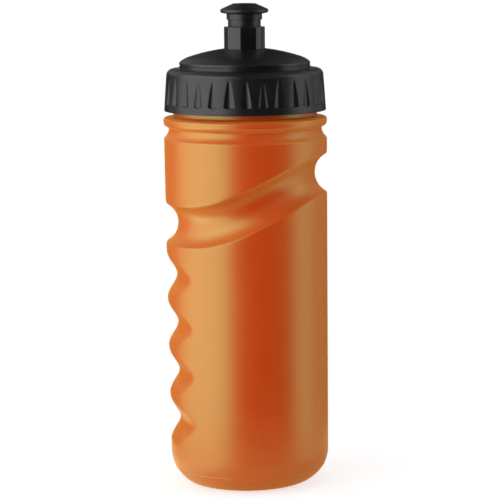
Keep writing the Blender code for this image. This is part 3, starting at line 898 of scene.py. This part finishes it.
def mapped(tree, value, low, high):
    """A value spread smoothly from 0 at low to 1 at high."""
    spread = tree.nodes.new("ShaderNodeMapRange")
    spread.interpolation_type = "SMOOTHSTEP"
    spread.inputs["From Min"].default_value = low
    spread.inputs["From Max"].default_value = high
    tree.links.new(value, spread.inputs["Value"])
    return spread.outputs["Result"]


def worked(tree, operation, first, second):
    """One step of arithmetic on two sockets or numbers."""
    step = tree.nodes.new("ShaderNodeMath")
    step.operation = operation
    for value, socket in ((first, step.inputs[0]), (second, step.inputs[1])):
        if isinstance(value, (int, float)):
            socket.default_value = value
        else:
            tree.links.new(value, socket)
    return step.outputs[0]


def studio_world():
    """White to the camera, and the studio's own surroundings to every other ray."""
    world = bpy.data.worlds.new("studio")
    world.use_nodes = True
    tree = world.node_tree
    tree.nodes.clear()
    place = tree.nodes.new("ShaderNodeTexCoord")
    direction = tree.nodes.new("ShaderNodeSeparateXYZ")
    tree.links.new(place.outputs["Generated"], direction.inputs["Vector"])
    across = direction.outputs["X"]
    back = direction.outputs["Y"]
    up = direction.outputs["Z"]
    backdrop = worked(tree, "MULTIPLY", mapped(tree, back, *BACKDROP_EDGE), mapped(tree, up, *BACKDROP_TOP))
    left_wall = worked(tree, "MULTIPLY", mapped(tree, across, *LEFT_WALL_SIDE), LEFT_WALL_GLOW)
    right_wall = worked(tree, "MULTIPLY", mapped(tree, across, *RIGHT_WALL_SIDE), RIGHT_WALL_GLOW)
    both_walls = worked(tree, "ADD", left_wall, right_wall)
    walls = worked(tree, "MULTIPLY", mapped(tree, up, *WALL_FOOT), both_walls)
    floor_side = mapped(tree, across, *LEFT_FLOOR_SIDE)
    floor_dip = mapped(tree, up, *LEFT_FLOOR_DIP)
    left_floor = worked(tree, "MULTIPLY", worked(tree, "MULTIPLY", floor_side, floor_dip), LEFT_FLOOR_GLOW)
    near_floor = worked(tree, "MULTIPLY", mapped(tree, up, *NEAR_FLOOR_DIP), NEAR_FLOOR_GLOW)
    glow = worked(tree, "ADD", worked(tree, "ADD", walls, left_floor), near_floor)
    surroundings = worked(tree, "ADD", worked(tree, "MAXIMUM", backdrop, glow), ROOM_GLOW)
    rays = tree.nodes.new("ShaderNodeLightPath")
    strength = worked(tree, "MAXIMUM", rays.outputs["Is Camera Ray"], surroundings)
    light = tree.nodes.new("ShaderNodeBackground")
    light.inputs["Color"].default_value = (1, 1, 1, 1)
    tree.links.new(strength, light.inputs["Strength"])
    out = tree.nodes.new("ShaderNodeOutputWorld")
    tree.links.new(light.outputs["Background"], out.inputs["Surface"])
    return world


scene.world = studio_world()


# Table
# A round pale table top, which takes the bottle's soft shadow and turns pure white further out. In the
# bottle's gloss its rim glows evenly, and its left side glows with a painted pool of light, as if the left
# softbox lit it. It casts no shadow of its own.
TABLE_RADIUS = 0.11
TABLE_SHADOW_RADIUS = 0.06
TABLE_PURE_RADIUS = 0.088
TABLE_DROP = 0.0002
TABLE_CORNERS = 96
TABLE_COLOUR = (0.50, 0.50, 0.50, 1)
TABLE_SEEN_GLOW = 0.68
TABLE_GLOSS_SIDE = (0.0, -0.05)
TABLE_PAINTED_LEFT_LIGHT = 0.9
TABLE_RIM_GLOSS_GLOW = 0.6


def white_table():
    """Pale where the shadow falls and pure white round it, blended by the distance from the bottle."""
    material = bpy.data.materials.new("white_table")
    material.use_nodes = True
    tree = material.node_tree
    tree.nodes.clear()
    place = tree.nodes.new("ShaderNodeTexCoord")
    away = tree.nodes.new("ShaderNodeVectorMath")
    away.operation = "LENGTH"
    tree.links.new(place.outputs["Object"], away.inputs[0])
    edge = mapped(tree, away.outputs["Value"], TABLE_SHADOW_RADIUS, TABLE_PURE_RADIUS)
    spot = tree.nodes.new("ShaderNodeSeparateXYZ")
    tree.links.new(place.outputs["Object"], spot.inputs["Vector"])
    rays = tree.nodes.new("ShaderNodeLightPath")
    seen = worked(tree, "MAXIMUM", rays.outputs["Is Camera Ray"], rays.outputs["Is Transmission Ray"])
    in_gloss = rays.outputs["Is Glossy Ray"]
    cover = tree.nodes.new("ShaderNodeBsdfDiffuse")
    cover.inputs["Color"].default_value = TABLE_COLOUR
    glow = tree.nodes.new("ShaderNodeEmission")
    seen_glow = worked(tree, "MULTIPLY", seen, TABLE_SEEN_GLOW)
    # Painted light: the table's left side glows in the bottle's gloss, as if the left softbox lit it.
    painted_left_light = worked(tree, "MULTIPLY", mapped(tree, spot.outputs["X"], *TABLE_GLOSS_SIDE), TABLE_PAINTED_LEFT_LIGHT)
    gloss_glow = worked(tree, "MULTIPLY", in_gloss, painted_left_light)
    tree.links.new(worked(tree, "ADD", seen_glow, gloss_glow), glow.inputs["Strength"])
    lit = tree.nodes.new("ShaderNodeAddShader")
    tree.links.new(cover.outputs[0], lit.inputs[0])
    tree.links.new(glow.outputs[0], lit.inputs[1])
    pure = tree.nodes.new("ShaderNodeEmission")
    rim_glow = worked(tree, "MULTIPLY", in_gloss, TABLE_RIM_GLOSS_GLOW)
    tree.links.new(worked(tree, "MAXIMUM", seen, rim_glow), pure.inputs["Strength"])
    joined = tree.nodes.new("ShaderNodeMixShader")
    tree.links.new(edge, joined.inputs[0])
    tree.links.new(lit.outputs[0], joined.inputs[1])
    tree.links.new(pure.outputs[0], joined.inputs[2])
    out = tree.nodes.new("ShaderNodeOutputMaterial")
    tree.links.new(joined.outputs[0], out.inputs["Surface"])
    return material


bpy.ops.mesh.primitive_circle_add(
    vertices=TABLE_CORNERS, radius=TABLE_RADIUS, fill_type="NGON", location=(0, 0, -TABLE_DROP)
)
table = bpy.context.active_object
table.name = "table"
table.data.materials.append(white_table())
table.visible_shadow = False
